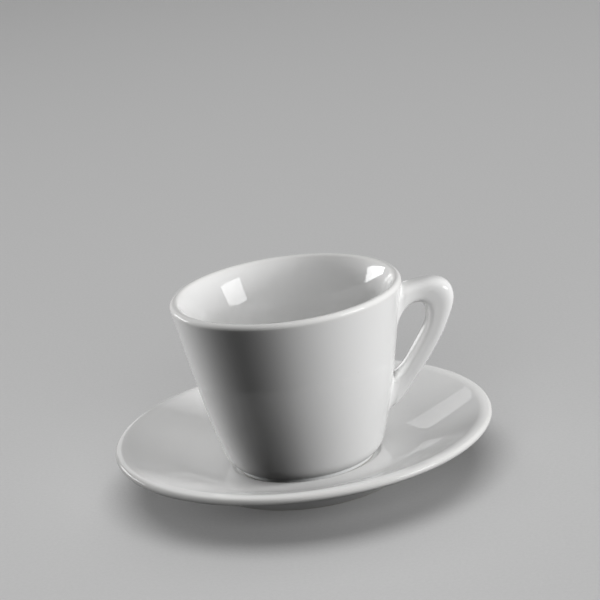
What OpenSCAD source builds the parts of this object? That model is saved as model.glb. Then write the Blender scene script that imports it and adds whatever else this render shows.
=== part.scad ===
// Cappuccino cup with saucer, white porcelain.
// The cup stands in the recessed well of the saucer, its handle points to +X.
// Origin: centre of the saucer's foot ring, on the surface that the set stands on. +Z is up.

/* [Cup] */
// Outer diameter of the cup at its rim
rim_d = 92; // [86:1:100]
// Height of the cup from foot to rim
cup_h = 72; // [68:1:78]
// Outer diameter of the cup's foot ring
foot_d = 55.4; // [53:0.2:55.6]
// Thickness of the rounded lip
lip_t = 4; // [3:0.2:4.8]
// Thickness of the wall below the lip, which flares open on the inside
wall_t = 7; // [5:0.2:8]
// Thickness of the cup's base above the foot ring's recess
base_t = 4.8; // [3.8:0.2:6]

/* [Handle] */
// Width of the handle's strap, across the handle
strap_w = 11.5; // [9:0.5:14]
// Roundness of the strap's outer side: 2 is an ellipse, more is squarer
strap_out = 2.5; // [2:0.1:3.5]
// Roundness of the strap's inner side, which is flatter with tight edges
strap_in = 5; // [3.5:0.5:7]
// Thickness of the slip that joins the handle to the cup
slip_t = 0.5; // [0.3:0.1:0.8]

/* [Saucer] */
// Outer diameter of the saucer
saucer_d = 152; // [148:1:164]
// Depth of the recessed well that holds the cup's foot
well_depth = 1.8; // [1.2:0.2:2.4]
// Diameter of the well at its upper edge
well_d = 62.6; // [62:0.2:66]
// Slope of the conical rim, rise over run
rim_slope = 0.4; // [0.3:0.02:0.46]
// Thickness of the saucer
saucer_t = 4; // [3.4:0.2:4.6]
// Outer diameter of the saucer's foot ring
ring_d = 82; // [78:1:90]

/* [Hidden] */
$fn = 96;

porcelain = [0.94, 0.94, 0.93];
slip_white = [0.90, 0.90, 0.88];

// ---- saucer, heights from the surface that it stands on
saucer_r = saucer_d / 2;
ring_r = ring_d / 2;
ring_w = 4.5;                        // width of the foot ring
recess_z = 1.8;                      // underside of the base
floor_z = recess_z + saucer_t;       // top of the well's floor
floor_r = well_d / 2 - 5;            // flat part of the well's floor
shelf_r = 50;                        // where the dished zone meets the conical rim
cone_r = saucer_r - 5.4;             // where the conical rim meets the lip
shelf_slope = 0.03;                  // slope at the well's upper edge
lip_roll = 7;                        // radius with which the rim rolls over at its edge
edge_r = 1.6;                        // radius of the saucer's outer edge

function well_step(r) = floor_z + well_depth * (1 - cos(180 * (r - floor_r) / 5)) / 2;
function dish_z(r) = let (x = r - well_d / 2, k = (rim_slope - shelf_slope) / (2 * (shelf_r - well_d / 2)))
    floor_z + well_depth + shelf_slope * x + k * x * x;
function cone_z(r) = dish_z(shelf_r) + rim_slope * (r - shelf_r);

rim_a = atan(rim_slope);
roll_c = [cone_r + lip_roll * sin(rim_a), cone_z(cone_r) - lip_roll * cos(rim_a)];
// the roll ends where it meets the round edge, whose outermost point is at saucer_r
edge_c_r = saucer_r - edge_r;
edge_a = acos((edge_c_r - roll_c[0]) / (lip_roll - edge_r));
edge_c = [edge_c_r, roll_c[1] + (lip_roll - edge_r) * sin(edge_a)];

// top surface from the axis to the lip
saucer_top = concat(
    [[0, floor_z], [floor_r, floor_z]],
    [for (i = [1:10]) let (r = floor_r + i * 0.5) [r, well_step(r)]],
    [for (i = [1:12]) let (r = well_d / 2 + (shelf_r - well_d / 2) * i / 12) [r, dish_z(r)]],
    [[cone_r, cone_z(cone_r)]],
    [for (i = [1:4]) let (a = 90 + rim_a + (edge_a - 90 - rim_a) * i / 4) roll_c + lip_roll * [cos(a), sin(a)]],
    [for (i = [1:10]) let (a = edge_a + (-90 - edge_a) * i / 10) edge_c + edge_r * [cos(a), sin(a)]]
);
// underside from the lip back to the axis
function under_z(r) = (r > shelf_r ? cone_z(r) : dish_z(r)) - saucer_t * (r > shelf_r ? 1.08 : 1.02);
saucer_under = concat(
    [for (i = [0:10]) let (r = cone_r + 2 - (cone_r + 2 - shelf_r) * i / 10) [r, under_z(r)]],
    [for (i = [1:4]) let (r = shelf_r - (shelf_r - ring_r - 2.4) * i / 4) [r, under_z(r)]],
    [[ring_r + 0.4, 1.2], [ring_r - 0.2, 0.3], [ring_r - 0.7, 0]],
    [[ring_r - ring_w + 0.7, 0], [ring_r - ring_w + 0.2, 0.3], [ring_r - ring_w - 0.3, 1.0],
     [ring_r - ring_w - 2.0, recess_z + 1.4], [ring_r - ring_w - 7.5, recess_z + 0.3], [ring_r - ring_w - 9.5, recess_z], [0, recess_z]]
);

// ---- cup, heights from the plane of its foot
seat_gap = 0.05;                     // play under the foot ring
seat_z = floor_z + seat_gap;
rim_r = rim_d / 2;
lip_r = lip_t / 2;
lip_z = cup_h - lip_r;
foot_r = foot_d / 2;
foot_h = 2;                          // height of the foot ring
taper = 0.19;                        // lean of the upper wall, run over rise
belly_z = cup_h / 2;                 // the wall turns inwards below this height
belly = 2.65;                        // by this much at the foot
corner_z = 7;                        // top of the round corner above the foot
corner_r = 9;                        // radius of that corner
floor_in_z = foot_h + 0.2 + base_t;  // floor of the inside
corner_in = 13;                      // radius where the inside wall meets the floor

function belly_in(z) = belly * pow(max(0, (belly_z - z) / belly_z), 2);
function wall_r(z) = rim_r - taper * (lip_z - z) - belly_in(z);
// the inside flares open over the top 18 mm, and runs along the outer wall below that
flare = (wall_t - lip_t) / 9;
function flare_run(u) = u < 18 ? u - u * u / 36 : 9;
function inner_r(z) = wall_r(z) - lip_t - flare * flare_run(lip_z - z);

lean_a = atan(taper);
corner_a0 = atan(taper + 2 * belly * (belly_z - corner_z) / (belly_z * belly_z));
corner_c = [wall_r(corner_z) - corner_r * cos(corner_a0), corner_z + corner_r * sin(corner_a0)];
corner_a1 = asin((corner_c[1] - foot_h) / corner_r);
neck_r = corner_c[0] + corner_r * cos(corner_a1);

// outer wall from the round corner to the lip
wall_z = concat([for (i = [0:14]) corner_z + (belly_z - corner_z) * i / 14], [belly_z + (lip_z - belly_z) / 2, lip_z - 1]);
wall_pts = [for (z = wall_z) [wall_r(z), z]];
corner_pts = [for (i = [0:11]) let (a = corner_a1 + (corner_a0 - corner_a1) * i / 12) corner_c + corner_r * [cos(a), -sin(a)]];
foot_pts = concat(
    [[foot_r - 5.2, 0.3], [foot_r - 4.8, 0], [foot_r - 1.2, 0]],
    [for (i = [1:6]) let (a = -90 + 15 * i) [foot_r - 1.2, 1.2] + 1.2 * [cos(a), sin(a)]],
    [[foot_r, foot_h - 0.35], [foot_r + (neck_r - foot_r) * 0.3, foot_h - 0.1]]
);
// lip: one arc that runs into the outer wall and into the flared inside
lean_in = atan(taper + flare);
top_r = (lip_t - flare * lip_r) / (1 / cos(lean_a) + 1 / cos(lean_in) - flare);
top_c = [rim_r - taper * (top_r - lip_r) - top_r / cos(lean_a), cup_h - top_r];
lip_pts = [for (i = [0:13]) let (a = -lean_a + (180 - lean_in + lean_a) * i / 13) top_c + top_r * [cos(a), sin(a)]];
// inside wall down to the floor
in_top = floor_in_z + corner_in * 0.82;
in_r0 = inner_r(in_top);
in_wall = concat([for (i = [0:9]) let (z = lip_z - 5 - 2 * i) [inner_r(z), z]],
    [for (i = [1:5]) let (z = lip_z - 23 - (lip_z - 23 - in_top) * i / 5) [inner_r(z), z]]);
in_corner = [for (i = [1:12]) let (a = 90 * i / 12) [in_r0 - corner_in * (1 - cos(a)), in_top - (in_top - floor_in_z) * sin(a)]];

cup_profile = concat(
    [[0, foot_h + 0.2], [foot_r - 6.8, foot_h + 0.2], [foot_r - 5.6, 1.2]],
    foot_pts, corner_pts, wall_pts, lip_pts, in_wall, in_corner, [[0, floor_in_z]]
);

// ---- handle: pairs of points on its outer and inner outline, x from the rim's
// radius and z from the rim, seen square-on, from the upper root to the lower one
outline = [
    [[-6, -5.8], [-8, -19.8]],
    [[-2, -5.2], [-4, -18.9]],
    [[1, -4.6], [-1.4, -15.3]],
    [[3.5, -4.1], [1.2, -13]],
    [[7, -3.7], [3.8, -12.2]],
    [[11.4, -3.4], [6, -12.4]],
    [[15.9, -4.4], [7.3, -13.6]],
    [[19, -7.4], [8, -15.1]],
    [[19.9, -11.8], [8.1, -16.8]],
    [[18.8, -16.4], [8, -18.6]],
    [[16.8, -21], [7.5, -21]],
    [[13.9, -26.6], [6.1, -24.1]],
    [[9.7, -33.1], [3, -29]],
    [[5.6, -38.6], [-0.2, -33.6]],
    [[1.6, -43.6], [-3.8, -38.4]],
    [[-2.5, -48.6], [-7.6, -42]],
    [[-6.2, -52.4], [-11, -45]],
    [[-10, -54.4], [-14.5, -47.4]],
    [[-14, -55.2], [-18, -49]]
];
steps = 2;                           // rings for each pair
last = len(outline) - 1;
function pick(i, k) = outline[max(0, min(last, i))][k];
// smooth curve through the points
function curve(i, u, k) = let (a = pick(i - 1, k), b = pick(i, k), c = pick(i + 1, k), d = pick(i + 2, k))
    0.5 * (2 * b + (c - a) * u + (2 * a - 5 * b + 4 * c - d) * u * u + (3 * b - a - 3 * c + d) * u * u * u);
// distance of a ring's middle from the wall, and half the strap's width there: it spreads towards both roots
function from_wall(m) = max(0, rim_r + m[0] - wall_r(max(corner_z, cup_h + m[1])));
function half_w(d, upper) = strap_w / 2 + (upper ? 3.2 * pow(max(0, 1 - d / 12), 2.5) : 1.8 * pow(max(0, 1 - d / 7), 2.5));
crown = 0.14;                        // the inner face is slightly convex
ring_n = 40;                         // points round the strap
function part_of(v, e) = sign(v) * pow(abs(v), e);
function ring(i, u) = let (
        o = curve(i, u, 0), n = curve(i, u, 1), m = (o + n) / 2,
        w = half_w(from_wall(m), i < last / 2))
    [for (k = [0:ring_n - 1]) let (c = cos(360 * k / ring_n), e = 2 / (c > 0 ? strap_out : strap_in),
        y = part_of(sin(360 * k / ring_n), e), x = part_of(c, e) * (c < 0 ? 1 - crown * y * y : 1),
        p = m + (o - n) / 2 * x)
        [rim_r + p[0], w * y, cup_h + p[1]]];
rings = concat([for (i = [0:last - 1]) for (s = [0:steps - 1]) ring(i, s / steps)], [ring(last, 0)]);
ring_count = len(rings);

module sweep(r) {
    n = len(r[0]); m = len(r);
    polyhedron(
        points = [for (a = r) for (p = a) p],
        faces = concat(
            [for (i = [0:m - 2]) for (j = [0:n - 1]) each [
                [i * n + j, i * n + (j + 1) % n, (i + 1) * n + j],
                [i * n + (j + 1) % n, (i + 1) * n + (j + 1) % n, (i + 1) * n + j]]],
            [[for (j = [n - 1:-1:0]) j]],
            [[for (j = [0:n - 1]) (m - 1) * n + j]]),
        convexity = 6);
}

// solid of the cup's outer shape, grown by g in radius
module wall_solid(g) {
    rotate_extrude()
        polygon(concat([[0, foot_h]], [for (p = corner_pts) [p[0] + g, p[1]]], [for (p = wall_pts) [p[0] + g, p[1]]],
            [[wall_r(lip_z) + g, cup_h + 4], [0, cup_h + 4]]));
}

// layer of slip on the wall between two heights, as wide as the handle's root
module slip(z0, z1, w) {
    c = 4;
    intersection() {
        difference() {
            wall_solid(slip_t);
            wall_solid(0);
        }
        rotate([90, 0, 90])
            linear_extrude(rim_r + 10)
                polygon([for (q = [0:3]) for (j = [0:4]) let (t = 90 * q + 22.5 * j,
                    sy = (q == 0 || q == 3) ? 1 : -1, sz = (q < 2) ? 1 : -1)
                    [sy * (w - c) + c * cos(t), (z0 + z1) / 2 + sz * ((z1 - z0) / 2 - c) + c * sin(t)]]);
    }
}

module saucer() {
    color(porcelain)
        rotate_extrude()
            polygon(concat(saucer_top, saucer_under));
}

module cup_body() {
    color(porcelain)
        translate([0, 0, seat_z])
            rotate_extrude()
                polygon(cup_profile);
}

module handle() {
    color(porcelain)
        translate([0, 0, seat_z])
            difference() {
                sweep(rings);
                wall_solid(slip_t);
            }
}

module upper_slip_joint() {
    color(slip_white)
        translate([0, 0, seat_z])
            slip(cup_h - 19.6, cup_h - 3.9, strap_w / 2 + 3.8);
}

module lower_slip_joint() {
    color(slip_white)
        translate([0, 0, seat_z])
            slip(cup_h - 56, cup_h - 40.6, strap_w / 2 + 2.4);
}

saucer();
cup_body();
handle();
upper_slip_joint();
lower_slip_joint();
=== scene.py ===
import math

import bpy
import numpy as np
from mathutils import Matrix, Vector


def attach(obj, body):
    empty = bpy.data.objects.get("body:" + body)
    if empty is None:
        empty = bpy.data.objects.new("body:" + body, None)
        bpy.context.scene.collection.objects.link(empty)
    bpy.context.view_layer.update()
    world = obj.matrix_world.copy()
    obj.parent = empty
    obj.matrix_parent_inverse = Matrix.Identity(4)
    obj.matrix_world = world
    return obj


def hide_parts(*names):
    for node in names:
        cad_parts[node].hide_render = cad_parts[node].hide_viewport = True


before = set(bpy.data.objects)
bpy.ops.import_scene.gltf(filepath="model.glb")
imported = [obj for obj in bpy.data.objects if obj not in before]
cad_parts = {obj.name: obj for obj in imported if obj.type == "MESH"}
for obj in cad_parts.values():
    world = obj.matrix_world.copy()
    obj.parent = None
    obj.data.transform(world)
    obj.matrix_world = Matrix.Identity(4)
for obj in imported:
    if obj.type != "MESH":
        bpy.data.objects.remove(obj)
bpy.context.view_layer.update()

MM = 0.001

# ---------------------------------------------------------------- dimensions, in millimetres
# cup, heights from the plane of its foot
CUP_H = 72.0
RIM_R = 46.0
LIP_R = 2.0
LIP_Z = CUP_H - LIP_R
FOOT_R = 27.7
FOOT_H = 2.0
TAPER = 0.19
BELLY_Z = 36.0
BELLY = 2.65
CORNER_Z = 7.0
CORNER_R = 9.0
WALL_T = 7.0
LIP_T = 4.0
FLOOR_IN = 7.0
# saucer, heights from the surface that it stands on
SAUCER_R = 76.0
RING_R = 41.0
RING_W = 4.5
RECESS_Z = 1.8
SAUCER_T = 4.0
WELL_Z = RECESS_Z + SAUCER_T
WELL_D = 1.8
WELL_R = 31.3
WELL_FLOOR_R = 26.3
SHELF_R = 50.0
SHELF_SLOPE = 0.03
RIM_SLOPE = 0.4
CONE_R = 70.6
LIP_ROLL = 7.0
EDGE_R = 1.6
SEAT_Z = WELL_Z + 0.05


def wall_r(z):
    """Outer radius of the cup at a height above its foot."""
    z = np.asarray(z, float)
    return RIM_R - TAPER * (LIP_Z - z) - BELLY * np.maximum(0.0, (BELLY_Z - z) / BELLY_Z) ** 2


def wall_lean(z):
    """Slope of the outer wall, run over rise."""
    z = np.asarray(z, float)
    return TAPER + 2 * BELLY * np.maximum(0.0, BELLY_Z - z) / BELLY_Z ** 2


FLARE = (WALL_T - LIP_T) / 9


def inner_r(z):
    """Radius of the inside: it flares open over the top 18 mm, and runs along the outer wall below that."""
    u = LIP_Z - np.asarray(z, float)
    run = np.where(u < 18, u - u ** 2 / 36, 9.0)
    return wall_r(z) - LIP_T - FLARE * run


# ---------------------------------------------------------------- profiles
def arc(c, r, a0, a1, n):
    t = np.radians(np.linspace(a0, a1, n))
    return np.stack([c[0] + r * np.cos(t), c[1] + r * np.sin(t)], 1)


def line(a, b, n):
    return np.linspace(np.asarray(a, float), np.asarray(b, float), n)


def bezier(p, n):
    p = [np.asarray(q, float) for q in p]
    t = np.linspace(0, 1, n)[:, None]
    return (1 - t) ** 3 * p[0] + 3 * t * (1 - t) ** 2 * p[1] + 3 * t * t * (1 - t) * p[2] + t ** 3 * p[3]


def rounded(corners, n=7):
    """A polyline whose inner corners (x, z, radius) are rounded."""
    out = [np.array([corners[0][:2]], float)]
    for a, b, c in zip(corners, corners[1:], corners[2:]):
        p = np.array(b[:2], float)
        u = np.array(a[:2], float) - p
        v = np.array(c[:2], float) - p
        lu, lv = np.linalg.norm(u), np.linalg.norm(v)
        u, v = u / lu, v / lv
        half = math.acos(max(-1.0, min(1.0, float(u @ v)))) / 2
        cut = min(b[2] / math.tan(half), 0.49 * lu, 0.49 * lv)
        r = cut * math.tan(half)
        mid = p + (u + v) / np.linalg.norm(u + v) * (r / math.sin(half))
        s, e = p + u * cut - mid, p + v * cut - mid
        a0 = math.atan2(s[1], s[0])
        da = (math.atan2(e[1], e[0]) - a0 + math.pi) % (2 * math.pi) - math.pi
        t = a0 + da * np.linspace(0, 1, n)
        out.append(np.stack([mid[0] + r * np.cos(t), mid[1] + r * np.sin(t)], 1))
    out.append(np.array([corners[-1][:2]], float))
    return np.concatenate(out)


def joined(*runs):
    """Runs of points end to end, with points that fall on each other taken once."""
    p = np.concatenate([np.asarray(r, float).reshape(-1, 2) for r in runs])
    keep = [0]
    for i in range(1, len(p)):
        if np.hypot(*(p[i] - p[keep[-1]])) > 0.02:
            keep.append(i)
    return p[keep]


def spaced(p, step):
    """More points wherever two neighbours are further apart than step."""
    out = [p[0]]
    for a, b in zip(p, p[1:]):
        n = max(1, int(math.ceil(np.hypot(*(b - a)) / step)))
        out += [a + (b - a) * k / n for k in range(1, n + 1)]
    return np.array(out)


def cup_profile():
    a0 = math.degrees(math.atan(float(wall_lean(CORNER_Z))))
    c = (float(wall_r(CORNER_Z)) - CORNER_R * math.cos(math.radians(a0)), CORNER_Z + CORNER_R * math.sin(math.radians(a0)))
    a1 = math.degrees(math.asin((c[1] - FOOT_H - 0.1) / CORNER_R))
    corner = arc(c, CORNER_R, -a1, -a0, 24)
    neck = corner[0]
    foot = rounded([
        (0, 2.2, 0), (21.2, 2.2, 1.1), (22.6, 0, 0.5), (FOOT_R, 0, 1.2), (FOOT_R, 1.72, 0.28),
        (neck[0] - 0.1, 1.98, 0.25), tuple(corner[2])])
    # the lip is one arc that runs into the outer wall and into the flared inside
    lean_out, lean_in = math.atan(TAPER), math.atan(TAPER + FLARE)
    top_r = (LIP_T - FLARE * LIP_R) / (1 / math.cos(lean_out) + 1 / math.cos(lean_in) - FLARE)
    top_c = (RIM_R - TAPER * (top_r - LIP_R) - top_r / math.cos(lean_out), CUP_H - top_r)
    lip = arc(top_c, top_r, -math.degrees(lean_out), 180 - math.degrees(lean_in), 26)
    zs = np.linspace(CORNER_Z, lip[0][1], 46)[1:-1]
    wall = np.stack([wall_r(zs), zs], 1)
    zi = np.linspace(lip[-1][1], 19.0, 46)[1:]
    inside = np.stack([inner_r(zi), zi], 1)
    d = inside[-1] - inside[-2]
    d = d / np.hypot(*d)
    bowl = bezier([inside[-1], inside[-1] + d * 6.5, (24.5, FLOOR_IN + 0.02), (15.4, FLOOR_IN)], 30)
    return spaced(joined(foot[:-1], corner[2:], wall, lip, inside, bowl, [(0, FLOOR_IN)]), 2.2)


def dish_z(r):
    x = r - WELL_R
    k = (RIM_SLOPE - SHELF_SLOPE) / (2 * (SHELF_R - WELL_R))
    return WELL_Z + WELL_D + SHELF_SLOPE * x + k * x * x


def cone_z(r):
    return dish_z(SHELF_R) + RIM_SLOPE * (r - SHELF_R)


def saucer_profile():
    a = math.atan(RIM_SLOPE)
    roll = (CONE_R + LIP_ROLL * math.sin(a), cone_z(CONE_R) - LIP_ROLL * math.cos(a))
    edge_x = SAUCER_R - EDGE_R
    edge_a = math.acos((edge_x - roll[0]) / (LIP_ROLL - EDGE_R))
    edge = (edge_x, roll[1] + (LIP_ROLL - EDGE_R) * math.sin(edge_a))
    rs = np.linspace(WELL_FLOOR_R, WELL_R, 22)
    step = np.stack([rs, WELL_Z + WELL_D * (1 - np.cos(np.pi * (rs - WELL_FLOOR_R) / (WELL_R - WELL_FLOOR_R))) / 2], 1)
    rd = np.linspace(WELL_R, SHELF_R, 26)
    dish = np.stack([rd, dish_z(rd)], 1)
    cone = line((SHELF_R, cone_z(SHELF_R)), (CONE_R, cone_z(CONE_R)), 14)
    lip = arc(roll, LIP_ROLL, 90 + math.degrees(a), math.degrees(edge_a), 12)
    rim = arc(edge, EDGE_R, math.degrees(edge_a), -90, 20)
    ru = np.linspace(CONE_R + 2, SHELF_R, 16)
    under = np.stack([ru, cone_z(ru) - SAUCER_T * 1.08], 1)
    rv = np.linspace(SHELF_R, RING_R + 3.2, 8)
    under2 = np.stack([rv, dish_z(rv) - SAUCER_T * 1.02], 1)
    under2[0, 1] = (under[-1, 1] + under2[0, 1]) / 2
    o = RING_R - RING_W
    ring = rounded([
        tuple(under2[-1]) + (0,), (RING_R + 1.5, float(dish_z(RING_R + 1.5) - SAUCER_T * 1.02), 1.3), (RING_R - 0.3, 0, 0.6),
        (o + 0.3, 0, 0.6), (o - 0.9, 2.2, 1.0), (o - 2.4, 3.1, 1.6), (o - 8.0, RECESS_Z, 5.0), (0, RECESS_Z, 0)])
    top = joined(line((0, WELL_Z), (WELL_FLOOR_R, WELL_Z), 12), step, dish, cone, lip, rim, under, under2, ring)
    return spaced(top[::-1], 2.2)


# ---------------------------------------------------------------- meshes
def finish_mesh(name, verts, faces, mats, face_mat=None, normals=None, glaze=None):
    me = bpy.data.meshes.new(name)
    me.from_pydata([tuple(map(float, v)) for v in verts], [], faces)
    for m in mats:
        me.materials.append(m)
    me.polygons.foreach_set("use_smooth", [True] * len(me.polygons))
    if face_mat is not None:
        me.polygons.foreach_set("material_index", face_mat)
    if glaze is not None:
        at = me.attributes.new("glaze", "FLOAT", "POINT")
        at.data.foreach_set("value", [float(g) for g in glaze])
    me.update()
    if normals is not None:
        me.normals_split_custom_set_from_vertices([tuple(map(float, n)) for n in normals])
    me.validate()
    ob = bpy.data.objects.new(name, me)
    bpy.context.scene.collection.objects.link(ob)
    return ob


def bend_of(p):
    """How sharply a profile turns at each point, 1/mm: above 0 on edges, below 0 in grooves, smoothed a little."""
    d1 = p[1:-1] - p[:-2]
    d2 = p[2:] - p[1:-1]
    l1, l2 = np.hypot(*d1.T), np.hypot(*d2.T)
    turn = np.arctan2(d1[:, 0] * d2[:, 1] - d1[:, 1] * d2[:, 0], (d1 * d2).sum(1))
    k = np.concatenate([[0], turn / (0.5 * (l1 + l2)), [0]])
    s = np.concatenate([[0], np.cumsum(np.hypot(*np.diff(p, axis=0).T))])
    out = np.zeros(len(p))
    for i in range(len(p)):
        w = np.exp(-((s - s[i]) / 1.1) ** 2)
        out[i] = (w * k).sum() / w.sum()
    return out


def lathe(name, p, mats, face_mat, lift=0.0, seg=224):
    """Solid of revolution of a profile that starts and ends on the axis, outside facing out."""
    n = len(p)
    ang = 2 * np.pi * np.arange(seg) / seg
    cs, sn = np.cos(ang), np.sin(ang)
    glaze_k = np.clip(bend_of(p) * 1.6, -1, 1)
    seglen = np.concatenate([[0], np.cumsum(np.hypot(*np.diff(p, axis=0).T))])
    tan = np.stack([np.gradient(p[:, 0], seglen), np.gradient(p[:, 1], seglen)], 1)
    nrm = np.stack([tan[:, 1], -tan[:, 0]], 1)
    nrm /= np.linalg.norm(nrm, axis=1)[:, None]
    verts, norms, glaze = [], [], []
    index = []
    for i, (r, z) in enumerate(p):
        if r < 1e-6:
            index.append([len(verts)] * seg)
            verts.append((0, 0, (z + lift) * MM))
            norms.append((0, 0, math.copysign(1, nrm[i, 1])))
            glaze.append(glaze_k[i])
        else:
            index.append(list(range(len(verts), len(verts) + seg)))
            for c, s in zip(cs, sn):
                verts.append((r * c * MM, r * s * MM, (z + lift) * MM))
                norms.append((nrm[i, 0] * c, nrm[i, 0] * s, nrm[i, 1]))
                glaze.append(glaze_k[i])
    faces, fm = [], []
    for i in range(n - 1):
        a, b = index[i], index[i + 1]
        m = face_mat(0.5 * (p[i] + p[i + 1]))
        for j in range(seg):
            k = (j + 1) % seg
            q = [a[j], a[k], b[k], b[j]]
            q = [v for t, v in enumerate(q) if v != q[t - 1]]
            faces.append(q)
            fm.append(m)
    return finish_mesh(name, verts, faces, mats, fm, norms, glaze)


# ---------------------------------------------------------------- handle
# pairs of points on the handle's outer and inner outline, x from the rim's radius and z from the rim
OUTLINE = [
    ((-6, -5.8), (-8, -19.8)), ((-2, -5.2), (-4, -18.9)), ((1, -4.6), (-1.4, -15.3)), ((3.5, -4.1), (1.2, -13)),
    ((7, -3.7), (3.8, -12.2)), ((11.4, -3.4), (6, -12.4)), ((15.9, -4.4), (7.3, -13.6)), ((19, -7.4), (8, -15.1)),
    ((19.9, -11.8), (8.1, -16.8)), ((18.8, -16.4), (8, -18.6)), ((16.8, -21), (7.5, -21)), ((13.9, -26.6), (6.1, -24.1)),
    ((9.7, -33.1), (3, -29)), ((5.6, -38.6), (-0.2, -33.6)), ((1.6, -43.6), (-3.8, -38.4)), ((-2.5, -48.6), (-7.6, -42)),
    ((-6.2, -52.4), (-11, -45)), ((-10, -54.4), (-14.5, -47.4)), ((-14, -55.2), (-18, -49)),
]
STRAP = 5.75


def spline(points):
    """Smooth curve with even curvature through the points: value at s, 0 to the last point."""
    p = np.asarray(points, float)
    n = len(p)
    a = np.zeros((n + 2, n + 2))
    b = np.zeros((n + 2, 2))
    for i in range(n):
        a[i, i:i + 3] = (1 / 6, 4 / 6, 1 / 6)
        b[i] = p[i]
    a[n, 0:3] = (1, -2, 1)
    a[n + 1, n - 1:n + 2] = (1, -2, 1)
    cv = np.linalg.solve(a, b)

    def at(s):
        s = np.clip(np.asarray(s, float), 0, n - 1 - 1e-9)
        i = s.astype(int)
        u = (s - i)[..., None]
        return ((1 - u) ** 3 * cv[i] + (3 * u ** 3 - 6 * u ** 2 + 4) * cv[i + 1]
                + (-3 * u ** 3 + 3 * u ** 2 + 3 * u + 1) * cv[i + 2] + u ** 3 * cv[i + 3]) / 6

    return at


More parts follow.
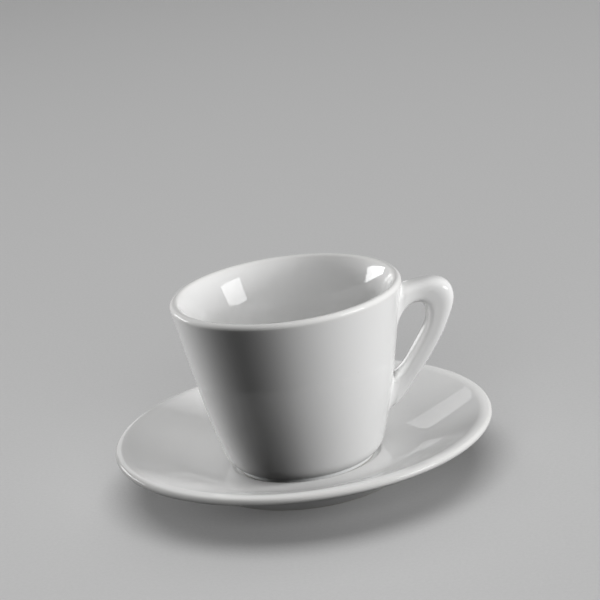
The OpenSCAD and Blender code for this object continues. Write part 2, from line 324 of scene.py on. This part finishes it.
def handle_parts(around=96, along=150, fillet=16):
    """Grids of points of the upper collar, the handle and the lower collar, with their normals: each is rings by around."""
    outer = spline([o for o, _ in OUTLINE])
    inner = spline([i for _, i in OUTLINE])
    last = len(OUTLINE) - 1

    # one turn round the strap's section, evenly spaced: 0 at the outer face, then +Y, the inner face and -Y
    # the outer side is round, the inner one is flatter with tight edges and slightly convex
    def section(t):
        e = np.where(np.cos(t) > 0, 2 / 2.5, 2 / 5)
        y = np.sign(np.sin(t)) * np.abs(np.sin(t)) ** e
        return np.sign(np.cos(t)) * np.abs(np.cos(t)) ** e * np.where(np.cos(t) < 0, 1 - 0.14 * y * y, 1), y

    t = np.linspace(0, 2 * np.pi, 4001)
    sx, sy = section(t)
    length = np.concatenate([[0], np.cumsum(np.hypot(np.diff(sx * 4.2), np.diff(sy * STRAP)))])
    v = np.interp(np.linspace(0, length[-1], around + 1)[:-1], length, t)
    ux, uy = section(v)

    def at(s, j):
        """Point of generator j at s, in millimetres from the cup's foot."""
        o, i = outer(s), inner(s)
        m, h = (o + i) / 2, (o - i) / 2
        q = m + h * ux[j][..., None] if np.ndim(j) else m + h * ux[j]
        # the strap spreads towards both roots
        d = np.maximum(0, RIM_R + m[..., 0] - wall_r(np.maximum(CORNER_Z, CUP_H + m[..., 1])))
        wide = np.where(s < last / 2, 3.2 * np.maximum(0, 1 - d / 12) ** 2.5, 1.8 * np.maximum(0, 1 - d / 7) ** 2.5)
        y = (STRAP + wide) * uy[j]
        return np.stack([RIM_R + q[..., 0], y, CUP_H + q[..., 1]], -1)

    def off_wall(p):
        return (np.hypot(p[..., 0], p[..., 1]) - wall_r(p[..., 2])) / np.sqrt(1 + wall_lean(p[..., 2]) ** 2)

    fine = np.linspace(0, last, 6001)
    first_a, last_a, first_h, last_h = [], [], [], []
    for j in range(around):
        d = off_wall(at(fine, j))
        c, s = math.cos(v[j]), math.sin(v[j])
        up = 0.9 * max(0, c) ** 2 + 2.4 * s * s + 1.6 * max(0, -c) ** 2
        low = 0.8 * max(0, c) ** 2 + 2.8 * s * s + 1.8 * max(0, -c) ** 2
        mid = len(fine) // 2
        below = np.nonzero(d[:mid] < 0)[0][-1]
        first_h.append(np.interp(0, d[below:below + 2], fine[below:below + 2]))
        k = below + np.nonzero(d[below:] > up)[0][0]
        first_a.append(np.interp(up, d[k - 1:k + 1], fine[k - 1:k + 1]))
        above = mid + np.nonzero(d[mid:] < 0)[0][0]
        last_h.append(np.interp(0, -d[above - 1:above + 1], fine[above - 1:above + 1]))
        k = np.nonzero(d[:above] > low)[0][-1]
        last_a.append(np.interp(-low, -d[k:k + 2], fine[k:k + 2]))

    def collar(s_h, s_a):
        """Rings of a fillet from the wall (first) to the handle (last)."""
        h = np.array([at(np.array(s), j) for j, s in enumerate(s_h)])
        a = np.array([at(np.array(s), j) for j, s in enumerate(s_a)])
        rad = h[:, :2] / np.hypot(h[:, 0], h[:, 1])[:, None]
        lean = wall_lean(h[:, 2])
        nw = np.concatenate([rad, -lean[:, None]], 1) / np.sqrt(1 + lean ** 2)[:, None]
        # outwards along the wall, square to the line in which strap and wall would meet
        ring = np.roll(h, -1, 0) - np.roll(h, 1, 0)
        out = np.cross(ring, nw)
        out /= np.linalg.norm(out, axis=1)[:, None]
        centre = h.mean(0)
        out *= np.sign(((h - centre) * out).sum(1))[:, None]
        reach = np.linalg.norm(a - h, axis=1)
        for _ in range(6):
            reach = (np.roll(reach, 1) + 2 * reach + np.roll(reach, -1)) / 4
        b = h + out * np.minimum(reach, 2.8)[:, None]
        scale = (wall_r(b[:, 2]) - 0.015) / np.hypot(b[:, 0], b[:, 1])
        b[:, 0] *= scale
        b[:, 1] *= scale
        u = np.linspace(0, 1, fillet)[:, None, None]
        grid = (1 - u) ** 2 * b + 2 * u * (1 - u) * h + u * u * a
        rb = b[:, :2] / np.hypot(b[:, 0], b[:, 1])[:, None]
        lb = wall_lean(b[:, 2])
        nb = np.concatenate([rb, -lb[:, None]], 1) / np.sqrt(1 + lb ** 2)[:, None]
        return grid, nb

    top, n_top = collar(first_h, first_a)
    low, n_low = collar(last_h, last_a)
    w = np.linspace(0, 1, along)
    fa, la = np.array(first_a), np.array(last_a)
    strap = np.array([[at(np.array(fa[j] + (la[j] - fa[j]) * x), j) for j in range(around)] for x in w])
    whole = np.concatenate([top[:-1], strap, low[::-1][1:]])
    ds = np.gradient(whole, axis=0)
    dv = np.roll(whole, -1, 1) - np.roll(whole, 1, 1)
    nn = np.cross(dv, ds)
    nn /= np.linalg.norm(nn, axis=2)[..., None]
    mid = whole[len(whole) // 2]
    if ((mid - mid.mean(0)) * nn[len(whole) // 2]).sum() < 0:
        nn = -nn
    nn[0], nn[-1] = n_top, n_low
    f = fillet - 1
    cuts = [(0, f + 1), (f, f + along), (f + along - 1, len(whole))]
    return [(whole[a:b], nn[a:b]) for a, b in cuts]


def tube(name, grid, norms, mats, sink_first=0.0, sink_last=0.0):
    """Closed skin round a grid of rings, with a cap on each end. sink moves a cap's middle towards the cup's axis."""
    m, k, _ = grid.shape
    verts = [tuple(p) for ring in grid for p in ring]
    nn = [tuple(p) for ring in norms for p in ring]
    faces = []
    flip = np.dot(np.cross(grid[1, 0] - grid[0, 0], grid[0, 1] - grid[0, 0]), norms[0, 0] + norms[1, 0]) < 0
    for i in range(m - 1):
        for j in range(k):
            q = [i * k + j, (i + 1) * k + j, (i + 1) * k + (j + 1) % k, i * k + (j + 1) % k]
            faces.append(q[::-1] if flip else q)
    for ring, sink, end in ((0, sink_first, False), (m - 1, sink_last, True)):
        c = grid[ring].mean(0)
        c = c - np.array([c[0], c[1], 0]) / np.hypot(c[0], c[1]) * sink
        base = len(verts)
        verts += [tuple(p) for p in grid[ring]] + [tuple(c)]
        away = (grid[0] - grid[1]).mean(0) if not end else (grid[-1] - grid[-2]).mean(0)
        away = away / np.linalg.norm(away)
        nn += [tuple(away)] * (k + 1)
        for j in range(k):
            q = [base + j, base + (j + 1) % k, base + k]
            faces.append(q[::-1] if flip != end else q)
    verts = (np.array(verts) + np.array([0, 0, SEAT_Z])) * MM
    ob = finish_mesh(name, verts, faces, mats, None, nn, np.zeros(len(verts)))
    return ob


# ---------------------------------------------------------------- materials
def new_material(name):
    m = bpy.data.materials.new(name)
    m.use_nodes = True
    nt = m.node_tree
    nt.nodes.clear()
    out = nt.nodes.new("ShaderNodeOutputMaterial")
    bsdf = nt.nodes.new("ShaderNodeBsdfPrincipled")
    nt.links.new(bsdf.outputs["BSDF"], out.inputs["Surface"])
    return m, nt, bsdf


def node(nt, kind, **values):
    n = nt.nodes.new(kind)
    for k, v in values.items():
        if k in n.inputs:
            n.inputs[k].default_value = v
        else:
            setattr(n, k, v)
    return n


def noise(nt, coord, scale, detail=2.0, rough=0.5):
    n = node(nt, "ShaderNodeTexNoise")
    n.inputs["Scale"].default_value = scale
    n.inputs["Detail"].default_value = detail
    n.inputs["Roughness"].default_value = rough
    nt.links.new(coord, n.inputs["Vector"])
    return n.outputs["Fac"]


def remap(nt, value, a, b, c, d):
    n = node(nt, "ShaderNodeMapRange")
    n.clamp = True
    for k, x in zip(("From Min", "From Max", "To Min", "To Max"), (a, b, c, d)):
        n.inputs[k].default_value = x
    nt.links.new(value, n.inputs["Value"])
    return n.outputs["Result"]


def mix(nt, fac, a, b):
    n = node(nt, "ShaderNodeMix")
    n.data_type = "RGBA"
    nt.links.new(fac, n.inputs[0])
    for sock, x in ((n.inputs[6], a), (n.inputs[7], b)):
        if isinstance(x, tuple):
            sock.default_value = (*x, 1)
        else:
            nt.links.new(x, sock)
    return n.outputs[2]


def math_node(nt, op, a, b):
    n = node(nt, "ShaderNodeMath")
    n.operation = op
    for sock, x in zip(n.inputs, (a, b)):
        if isinstance(x, (int, float)):
            sock.default_value = x
        else:
            nt.links.new(x, sock)
    return n.outputs[0]


def bump(nt, height, distance, normal=None):
    n = node(nt, "ShaderNodeBump")
    n.inputs["Strength"].default_value = 1.0
    n.inputs["Distance"].default_value = distance
    nt.links.new(height, n.inputs["Height"])
    if normal is not None:
        nt.links.new(normal, n.inputs["Normal"])
    return n.outputs["Normal"]


def glaze_material(name, white, thin, pool):
    """Clear gloss glaze on white porcelain: thin on edges, pooled in grooves, with the soft waviness of a fired surface."""
    m, nt, bsdf = new_material(name)
    obj = node(nt, "ShaderNodeTexCoord").outputs["Object"]
    at = node(nt, "ShaderNodeAttribute")
    at.attribute_name = "glaze"
    fac = at.outputs["Fac"]
    cloud = noise(nt, obj, 26, 3, 0.55)
    speck = noise(nt, obj, 900, 1, 0.5)
    base = mix(nt, remap(nt, cloud, 0.3, 0.7, 0, 1), white, tuple(c * 0.985 for c in white))
    base = mix(nt, remap(nt, fac, 0.05, 1.0, 0, 0.75), base, thin)
    base = mix(nt, remap(nt, fac, -0.05, -0.8, 0, 0.8), base, pool)
    base = mix(nt, remap(nt, speck, 0.76, 0.82, 0, 0.22), base, (0.52, 0.50, 0.46))
    nt.links.new(base, bsdf.inputs["Base Color"])
    streak = noise(nt, obj, 60, 3, 0.6)
    nt.links.new(remap(nt, streak, 0.3, 0.75, 0.01, 0.03), bsdf.inputs["Roughness"])
    bsdf.inputs["IOR"].default_value = 1.52
    wave = bump(nt, noise(nt, obj, 48, 1, 0.4), 0.000022)
    peel = bump(nt, noise(nt, obj, 420, 1, 0.5), 0.0000028, wave)
    nt.links.new(peel, bsdf.inputs["Normal"])
    return m


def bisque_material(name):
    """Unglazed fired clay of the foot rings: matt, finely granular, a little worn and grey where it stands."""
    m, nt, bsdf = new_material(name)
    obj = node(nt, "ShaderNodeTexCoord").outputs["Object"]
    cloud = noise(nt, obj, 90, 4, 0.6)
    grain = noise(nt, obj, 2600, 2, 0.6)
    base = mix(nt, remap(nt, cloud, 0.3, 0.7, 0, 1), (0.74, 0.71, 0.66), (0.66, 0.63, 0.58))
    base = mix(nt, remap(nt, grain, 0.35, 0.7, 0, 0.35), base, (0.50, 0.47, 0.43))
    nt.links.new(base, bsdf.inputs["Base Color"])
    nt.links.new(remap(nt, grain, 0.3, 0.7, 0.7, 0.92), bsdf.inputs["Roughness"])
    bsdf.inputs["IOR"].default_value = 1.45
    nt.links.new(bump(nt, grain, 0.00006), bsdf.inputs["Normal"])
    return m


def floor_material(name):
    m, nt, bsdf = new_material(name)
    obj = node(nt, "ShaderNodeTexCoord").outputs["Object"]
    fine = noise(nt, obj, 700, 3, 0.6)
    base = mix(nt, remap(nt, fine, 0.3, 0.7, 0, 1), (0.60, 0.60, 0.60), (0.63, 0.63, 0.63))
    nt.links.new(base, bsdf.inputs["Base Color"])
    bsdf.inputs["Roughness"].default_value = 0.62
    nt.links.new(bump(nt, fine, 0.00008), bsdf.inputs["Normal"])
    return m


cup_glaze = glaze_material("cup_glaze", (0.84, 0.84, 0.835), (0.80, 0.795, 0.78), (0.80, 0.815, 0.81))
saucer_glaze = glaze_material("saucer_glaze", (0.84, 0.84, 0.835), (0.80, 0.795, 0.78), (0.80, 0.815, 0.81))
bisque = bisque_material("bisque")

# ---------------------------------------------------------------- pieces
cup_body = lathe(
    "porcelain_cup_body", cup_profile(), [cup_glaze, bisque],
    lambda p: 1 if p[1] < 0.45 and 22.0 < p[0] < FOOT_R else 0, SEAT_Z)
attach(cup_body, "cup")
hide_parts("cup_body")

saucer = lathe(
    "porcelain_saucer", saucer_profile(), [saucer_glaze, bisque],
    lambda p: 1 if p[1] < 0.35 and 34.0 < p[0] < 44.0 else 0)
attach(saucer, "saucer")
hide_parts("saucer")

(top_grid, top_n), (strap_grid, strap_n), (low_grid, low_n) = handle_parts()
upper_joint = tube("porcelain_upper_joint", top_grid, top_n, [cup_glaze], sink_first=0.3)
strap = tube("porcelain_handle", strap_grid, strap_n, [cup_glaze])
lower_joint = tube("porcelain_lower_joint", low_grid, low_n, [cup_glaze], sink_last=0.3)
for ob, cad, slot in ((upper_joint, "upper_slip_joint", "slip"), (strap, "handle", "cup_glaze"), (lower_joint, "lower_slip_joint", "slip")):
    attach(ob, "cup")
    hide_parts(cad)

# ---------------------------------------------------------------- floor
def cove(name, mat, radius=1.3, bend=2.6, height=0.6, seg=96):
    """Round studio floor that curves up into a backdrop on all sides."""
    p = [(r, 0.0) for r in np.linspace(0, radius, 14)]
    p += [(radius + bend * math.sin(t), bend * (1 - math.cos(t))) for t in np.linspace(0, math.pi / 2, 40)[1:]]
    p += [(radius + bend, bend + h) for h in np.linspace(0, height, 5)[1:]]
    verts = [(0, 0, 0)]
    faces = []
    for r, z in p[1:]:
        verts += [(r * math.cos(2 * math.pi * j / seg), r * math.sin(2 * math.pi * j / seg), z) for j in range(seg)]
    for j in range(seg):
        faces.append((0, 1 + j, 1 + (j + 1) % seg))
    for i in range(len(p) - 2):
        a, b = 1 + i * seg, 1 + (i + 1) * seg
        for j in range(seg):
            k = (j + 1) % seg
            faces.append((a + j, b + j, b + k, a + k))
    ob = finish_mesh(name, [(x, y, z - 0.00005) for x, y, z in verts], faces, [mat])
    return ob


floor = cove("studio_floor", floor_material("pale_floor"))
floor.visible_diffuse = False
saucer.visible_diffuse = False

# ---------------------------------------------------------------- light
def group(name, *obs):
    g = bpy.data.collections.new(name)
    for ob in obs:
        g.objects.link(ob)
    return g


porcelain_set = group("porcelain_set", cup_body, saucer, upper_joint, strap, lower_joint)
cup_set = group("cup_set", cup_body, upper_joint, strap, lower_joint)
body_set = group("body_set", cup_body)
handle_set = group("handle_set", upper_joint, strap, lower_joint)
dish_set = group("dish_set", saucer)
ground = group("ground", floor)


def softbox(name, azimuth, elevation, distance, size, power, aim=(0, 0, 0.045), roll=0, shine=True, on=None, shade=None):
    """Area light that looks at a point. shine: its reflection shows in the glaze. on: the only things it lights.
    shade: the only things that cast shadows from it."""
    data = bpy.data.lights.new(name, "AREA")
    data.shape = "RECTANGLE"
    data.size, data.size_y = size
    data.energy = power
    ob = bpy.data.objects.new(name, data)
    bpy.context.scene.collection.objects.link(ob)
    a, e = math.radians(azimuth), math.radians(elevation)
    way = Vector((math.cos(a) * math.cos(e), math.sin(a) * math.cos(e), math.sin(e)))
    ob.location = Vector(aim) + way * distance
    side = Vector((-math.sin(a), math.cos(a), 0))
    turned = Matrix((side, way.cross(side), way)).transposed().to_4x4() @ Matrix.Rotation(math.radians(roll), 4, "Z")
    ob.rotation_mode = "QUATERNION"
    ob.rotation_quaternion = turned.to_quaternion()
    ob.visible_camera = False
    ob.visible_glossy = shine
    if on is not None:
        ob.light_linking.receiver_collection = on
    if shade is not None:
        ob.light_linking.blocker_collection = shade
    return ob


softbox("key", -24.6, 20.5, 1.1, (0.495, 0.33), 3.0, roll=-18, on=porcelain_set)
softbox("rim", 144.6, 10.7, 1.1, (0.57, 0.147), 1.9, roll=15, on=porcelain_set)
softbox("back", 116, 3.0, 0.45, (0.40, 0.18), 0.30, aim=(0.05, 0, 0.045), on=handle_set)
softbox("key_wash", -19, 6.5, 1.3, (0.55, 0.3), 12.2, shine=False, on=body_set, shade=cup_set)
softbox("rim_wash", 147, 7, 1.3, (0.55, 0.3), 14.0, shine=False, on=cup_set, shade=cup_set)
softbox("cup_top", -72, 82, 2.2, (1.2, 1.2), 25.0, shine=False, on=body_set)
softbox("handle_key", -14, 10, 1.3, (0.4, 0.3), 13.0, shine=False, on=handle_set)
softbox("handle_fill", -140, 18, 1.2, (0.4, 0.4), 3.0, shine=False, on=handle_set, shade=handle_set)
softbox("handle_top", 100, 78, 1.2, (0.4, 0.4), 5.1, shine=False, on=handle_set, shade=handle_set)
softbox("handle_front", -80, 34, 1.2, (0.4, 0.4), 0.8, shine=False, on=handle_set, shade=handle_set)
softbox("dish_right", -8, 26, 1.6, (0.5, 0.4), 16.5, shine=False, on=dish_set)
softbox("dish_back", 130, 50, 1.8, (1.2, 1.2), 12.0, shine=False, on=dish_set)
softbox("dish_front", -100, 60, 1.8, (1.2, 1.2), 7.0, shine=False, on=dish_set)
softbox("dish_gloss", 108, 16, 1.3, (0.36, 0.5), 0.45, on=dish_set)
softbox("dish_low_front", -90, 10, 1.2, (1.2, 0.36), 1.1, shine=False, on=dish_set)
softbox("dish_low_right", 30, 10, 1.2, (1.2, 0.36), 1.1, shine=False, on=dish_set)
softbox("dish_low_left", 150, 10, 1.2, (1.2, 0.36), 1.1, shine=False, on=dish_set)
softbox("floor_light", 90, 80, 2.2, (2.6, 2.6), 44.0, shine=False, on=ground)
softbox("floor_front", -90, 24, 2.2, (2.4, 1.2), 26.0, shine=False, on=ground)

world = bpy.data.worlds.new("studio")
bpy.context.scene.world = world
world.use_nodes = True
world.node_tree.nodes["Background"].inputs["Color"].default_value = (1, 1, 1, 1)
world.node_tree.nodes["Background"].inputs["Strength"].default_value = 0.02

# ---------------------------------------------------------------- camera
# seen from 19.3 degrees above, leaning 7.6 degrees, 0.9 m from the middle of the cup
FOCAL = 2254.6
AIM_PIXEL = (296.0, 373.0)
elev, lean = math.radians(19.27), math.radians(7.555)
target = Vector((0, 0, (SEAT_Z + CUP_H / 2) * MM))
back = Vector((0, -math.cos(elev), math.sin(elev)))
right = Vector((1, 0, 0))
up = back.cross(right)
img_right = right * math.cos(lean) - up * math.sin(lean)
img_up = right * math.sin(lean) + up * math.cos(lean)
look = (-back * FOCAL + img_right * (300 - AIM_PIXEL[0]) + img_up * (AIM_PIXEL[1] - 300)).normalized()
cam_right = look.cross(img_up).normalized()
cam_up = cam_right.cross(look)
cam_data = bpy.data.cameras.new("camera")
cam_data.sensor_width = 36.0
cam_data.lens = 36.0 * FOCAL / 600
cam = bpy.data.objects.new("camera", cam_data)
bpy.context.scene.collection.objects.link(cam)
cam.matrix_world = Matrix.Translation(target + back * 0.9) @ Matrix((cam_right, cam_up, -look)).transposed().to_4x4()
bpy.context.scene.camera = cam

bpy.context.scene.view_settings.view_transform = "Standard"
